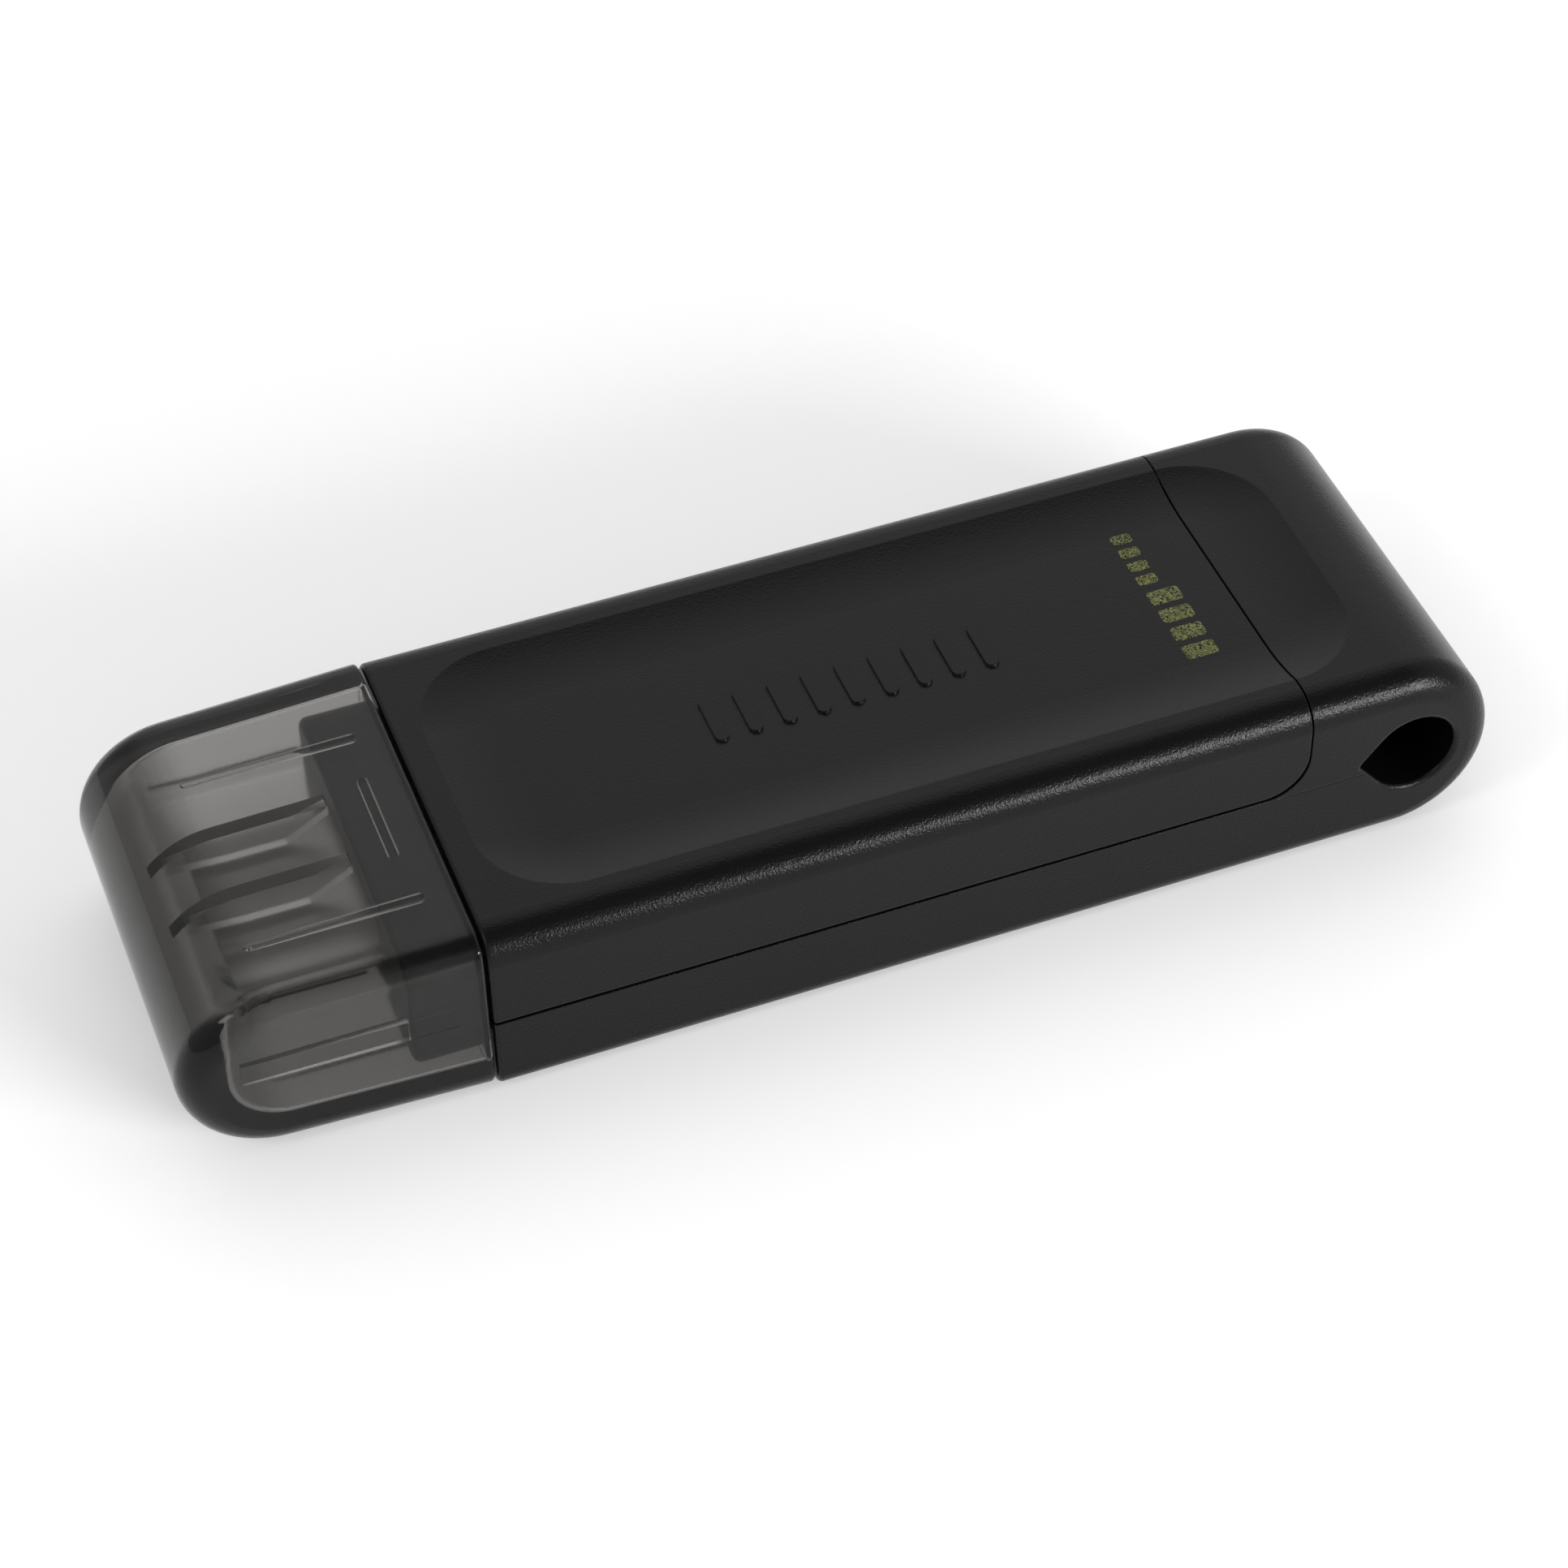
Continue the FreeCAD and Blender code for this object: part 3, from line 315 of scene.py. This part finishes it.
def make_floor():
    """A broad sheet of pale paper that the drive lies on."""
    bpy.ops.mesh.primitive_plane_add(size=6.0, location=(0, 0, DRIVE_LOW.z))
    floor = bpy.context.object
    floor.name = "floor"
    paper = Finish("floor_paper")
    tint = paper.mix_colour(paper.noise(1.1), (0.93, 0.93, 0.93), (0.95, 0.95, 0.95))
    paper.surface({
        "Base Color": tint,
        "Roughness": 0.8,
        "Specular IOR Level": 0.2,
        "Emission Color": (1.0, 1.0, 1.0),
        "Emission Strength": FLOOR_LIGHT,
    })
    floor.data.materials.append(paper.material)


# ---------------------------------------------------------------- finishes

def case_plastic():
    """Black plastic with a fine moulded grain. It is smooth in the keyring eye and on the grip bars."""
    finish = Finish("case_plastic")
    x, y, z = finish.axes()
    reach_x = x - EYE_X
    reach_z = z - MID_Z
    eye = (reach_x * reach_x + reach_z * reach_z).below(EYE_REACH ** 2, 0.4)
    eye = eye * abs(y).below(SIDE_Y - 0.2, 0.1)
    parting = abs(z - PARTING_Z).below(PARTING_HALF_WIDTH, 0.03) * abs(y).above(SIDE_Y - 0.1, 0.05)
    parting = parting * x.above(PARTING_FRONT_X, 0.6) * x.below(EYE_X - EYE_REACH, 0.2)
    bar_tops = z.above(GRIP_TOP_LOW_Z, 0.02) * z.below(GRIP_TOP_HIGH_Z, 0.02)
    bar_tops = bar_tops * abs(y).below(GRIP_HALF_WIDTH, 0.02)
    bar_tops = bar_tops * abs(x - GRIP_CENTRE_X).below(GRIP_HALF_LENGTH, 0.1)
    grain = finish.noise(0.11, 2.0, 0.6)
    rough = (1 - eye) * (1 - bar_tops * 0.7)
    relief = finish.bump(grain * rough, 0.02, 1.0, finish.soft_edges(0.09))
    relief = finish.bump(1 - parting, 0.05, 1.0, relief)
    cloud = finish.noise(6.0, 3.0)
    finish.surface({
        "Base Color": finish.mix_colour(cloud, (0.0025, 0.0025, 0.0026), (0.004, 0.004, 0.0041)),
        "Roughness": 0.1 + rough * (0.08 + grain * 0.1),
        "Specular IOR Level": 0.19,
        "Normal": relief,
    })
    return finish


def smoked_plastic():
    """Clear plastic dyed grey-brown all through: polished outside, satin inside, with painted shade that
    darkens it towards its nose.
    """
    finish = Finish("smoked_plastic")
    x, y, z = finish.axes()
    nose = (CAP_INSIDE_CENTRE_X - x).at_least(0.0)
    up = z - MID_Z
    inside = (nose * nose + up * up).below(CAP_INSIDE_RADIUS ** 2, 0.5) * abs(y).below(CAP_INSIDE_Y, 0.1)
    ripple = finish.noise(2.5, 1.0)
    # Painted shade: the tint deepens towards the nose, on top of the even dye and its absorption
    painted_nose_shade = x.below(NOSE_SHADE_END_X, 3.6)
    finish.surface({
        "Base Color": finish.mix_colour(painted_nose_shade, (1.0, 1.0, 1.0), (0.6, 0.6, 0.6)),
        "IOR": 1.5,
        "Transmission Weight": 1.0,
        "Specular Tint": (0.45, 0.45, 0.45),
        "Roughness": 0.02 + inside * 0.13,
        "Normal": finish.bump(ripple, 0.01, 0.5),
    })
    dye = finish.node("ShaderNodeVolumeAbsorption", {}, {"Color": (0.5, 0.487, 0.475), "Density": 850.0})
    finish.tree.links.new(dye.socket, finish.output.inputs["Volume"])
    return finish


def collar_plastic():
    """Black plastic, a little greyer and duller than the case."""
    finish = Finish("collar_plastic")
    grain = finish.noise(0.09, 2.0)
    finish.surface({
        "Base Color": finish.mix_colour(finish.noise(3.0), (0.006, 0.006, 0.006), (0.009, 0.009, 0.009)),
        "Roughness": 0.34 + grain * 0.15,
        "Specular IOR Level": 0.24,
        "Normal": finish.bump(grain, 0.008, 0.8, finish.soft_edges(0.06)),
    })
    return finish


def nickel():
    """Dull nickel over drawn steel, with faint drawing lines along the plug."""
    finish = Finish("nickel")
    lines = finish.noise(0.06, 2.0, 0.5, (0.04, 1.0, 1.0))
    finish.surface({
        "Base Color": finish.mix_colour(finish.noise(1.5), (0.34, 0.33, 0.314), (0.40, 0.389, 0.371)),
        "Metallic": 1.0,
        "Roughness": 0.25 + lines * 0.12,
        "Normal": finish.bump(lines, 0.001, 0.4, finish.soft_edges(0.05)),
    })
    return finish


def plain(name, dark, light, rough, metallic=0.0, size=0.3, depth=0.004):
    """A simple finish: a colour that wanders a little, with fine relief."""
    finish = Finish(name)
    grain = finish.noise(size, 3.0)
    finish.surface({
        "Base Color": finish.mix_colour(grain, dark, light),
        "Metallic": metallic,
        "Roughness": rough - 0.08 + grain * 0.16,
        "Normal": finish.bump(grain, depth, 0.5, finish.soft_edges(0.03)),
    })
    return finish


def board_finish():
    """Green solder mask with tracks under it, gold spots through it and bare edges."""
    finish = Finish("solder_mask")
    _, y, _ = finish.axes()
    weave = finish.noise(0.25, 2.0)
    lanes = (y + finish.noise(5.0, 0.0) * 1.6).wrapped(TRACK_PITCH).below(0.1, 0.03)
    broken = finish.noise(2.2, 1.0, 0.5, (0.5, 1.0, 1.0)).above(0.5, 0.02)
    tracks = lanes * broken
    vias = finish.spots(VIA_PITCH).below(0.17, 0.03) * (1 - tracks)
    edge = abs(y).above(BOARD_SIDE_Y - 0.02, 0.02)
    mask = finish.mix_colour(weave, (0.008, 0.06, 0.028), (0.011, 0.08, 0.037))
    colour = finish.mix_colour(tracks, mask, (0.03, 0.17, 0.07))
    colour = finish.mix_colour(vias, colour, (0.75, 0.55, 0.25))
    colour = finish.mix_colour(edge, colour, (0.28, 0.26, 0.14))
    finish.surface({
        "Base Color": colour,
        "Metallic": vias,
        "Roughness": 0.28 + weave * 0.08 + edge * 0.4,
        "Normal": finish.bump(tracks + vias + weave * 0.1, 0.03, 0.8, finish.soft_edges(0.03)),
    })
    return finish


def chip_finish(name, low, high):
    """Chip resin with a dimple in one corner, paler marked bars in the middle and a fine grain."""
    finish = Finish(name)
    x, y, _ = finish.axes()
    grain = finish.noise(0.07, 3.0)
    corner_x = x - (low.x / MM + CHIP_DIMPLE_INSET)
    corner_y = y - (low.y / MM + CHIP_DIMPLE_INSET)
    dimple = (corner_x * corner_x + corner_y * corner_y).below(CHIP_DIMPLE_RADIUS ** 2, 0.03)
    middle = (low + high) / 2 / MM
    bars = (y - middle.y).wrapped(CHIP_BAR_PITCH).below(0.08, 0.02)
    bars = bars * abs(y - middle.y).below(0.9, 0.02)
    bars = bars * abs(x - middle.x).below(1.1, 0.02)
    resin = finish.mix_colour(grain, (0.014, 0.014, 0.015), (0.024, 0.024, 0.024))
    finish.surface({
        "Base Color": finish.mix_colour(bars * 0.8, resin, (0.11, 0.11, 0.105)),
        "Roughness": 0.45 + grain * 0.2 - dimple * 0.2,
        "Normal": finish.bump(grain * 0.15 - dimple, 0.06, 0.7, finish.soft_edges(0.04)),
    })
    return finish


def dress_everything():
    case_plastic().dress("lower_shell", "upper_shell")
    smoked_plastic().dress("cap")
    collar_plastic().dress("plug_collar")
    nickel().dress("usb_plug_shell", "latch_plate", "shield_springs", "crystal_lid")
    resin = plain("connector_plastic", (0.012, 0.012, 0.012), (0.02, 0.02, 0.02), 0.4)
    resin.dress("plug_housing", "upper_contact_block", "lower_contact_block")
    gold = plain("gold", (0.80, 0.55, 0.20), (0.95, 0.70, 0.32), 0.25, 1.0)
    gold.dress("upper_contacts", "lower_contacts")
    board_finish().dress("circuit_board")
    for chip in ("controller_chip", "flash_memory_chip"):
        chip_finish(chip + "_resin", *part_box(chip)).dress(chip)
    chips = plain("chip_resin", (0.015, 0.015, 0.015), (0.025, 0.025, 0.025), 0.55, 0.0, 0.1)
    chips.dress("voltage_regulator", "static_protectors", "chip_resistors")
    ceramic = plain("ceramic", (0.35, 0.24, 0.15), (0.48, 0.34, 0.22), 0.5)
    ceramic.dress("crystal_base", "ceramic_capacitors")
    plain("ferrite", (0.07, 0.07, 0.07), (0.11, 0.11, 0.11), 0.6).dress("power_inductor")
    tin = plain("tin", (0.62, 0.62, 0.60), (0.78, 0.78, 0.75), 0.3, 1.0)
    tin.dress("regulator_leads", "component_terminals")


# ---------------------------------------------------------------- printed gauge

def mark_ink():
    """Olive ink that the case's grain shows through as specks."""
    finish = Finish("mark_ink")
    speck = finish.noise(0.07, 2.0, 0.6)
    patch = speck.above(0.5, 0.3)
    finish.surface({
        "Base Color": finish.mix_colour(patch, (0.012, 0.014, 0.007), (0.2, 0.207, 0.06)),
        "Roughness": 0.5,
        "Specular IOR Level": 0.3,
        "Alpha": finish.noise(0.09, 2.0, 0.6).above(0.41, 0.1),
        "Normal": finish.bump(speck, 0.02, 0.8),
    })
    return finish


def ink_block(bm, x, y, length, width, steps=4):
    """A thin plate with round corners on the scoop's floor, centred at x, y, in millimetres."""
    inner_x = length / 2 - BLOCK_CORNER
    inner_y = width / 2 - BLOCK_CORNER
    ring = []
    for turn in range(4):
        angle = turn * math.pi / 2
        sign_x = 1 if turn in (0, 3) else -1
        sign_y = 1 if turn in (0, 1) else -1
        for step in range(steps + 1):
            a = angle + step / steps * math.pi / 2
            ring.append((
                x + sign_x * inner_x + BLOCK_CORNER * math.cos(a),
                y + sign_y * inner_y + BLOCK_CORNER * math.sin(a),
            ))
    top_z = SCOOP_FLOOR_Z + INK_THICKNESS
    low = [bm.verts.new(Vector((px, py, SCOOP_FLOOR_Z)) * MM) for px, py in ring]
    high = [bm.verts.new(Vector((px, py, top_z)) * MM) for px, py in ring]
    bm.faces.new(high)
    bm.faces.new(low[::-1])
    for i in range(len(ring)):
        j = (i + 1) % len(ring)
        bm.faces.new((low[i], low[j], high[j], high[i]))


def new_piece(name, bm, material):
    """Turns a worked mesh into a piece of its own that rides on the drive."""
    mesh = bpy.data.meshes.new(name)
    bm.to_mesh(mesh)
    bm.free()
    piece = bpy.data.objects.new(name, mesh)
    bpy.context.scene.collection.objects.link(piece)
    mesh.materials.append(material)
    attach(piece, "drive")


def printed_gauge():
    """A row of plain ink blocks across the scoop: four tall ones and four short ones."""
    bm = bmesh.new()
    for i in range(GAUGE_COUNT):
        ink_block(bm, TALL_FIRST[0], TALL_FIRST[1] + i * TALL_PITCH, *TALL_BLOCK)
    for i in range(GAUGE_COUNT):
        ink_block(bm, SHORT_FIRST[0], SHORT_FIRST[1] + i * SHORT_PITCH, *SHORT_BLOCK)
    new_piece("printed_gauge", bm, mark_ink().material)


make_camera()
make_room()
softbox("key", azimuth=33, elevation=17, distance=0.6, width=0.3, height=0.1, radiance=29.0)
softbox("side", azimuth=-72, elevation=44, distance=0.5, width=0.11, height=0.11, radiance=6.0)
make_floor()
dress_everything()
printed_gauge()
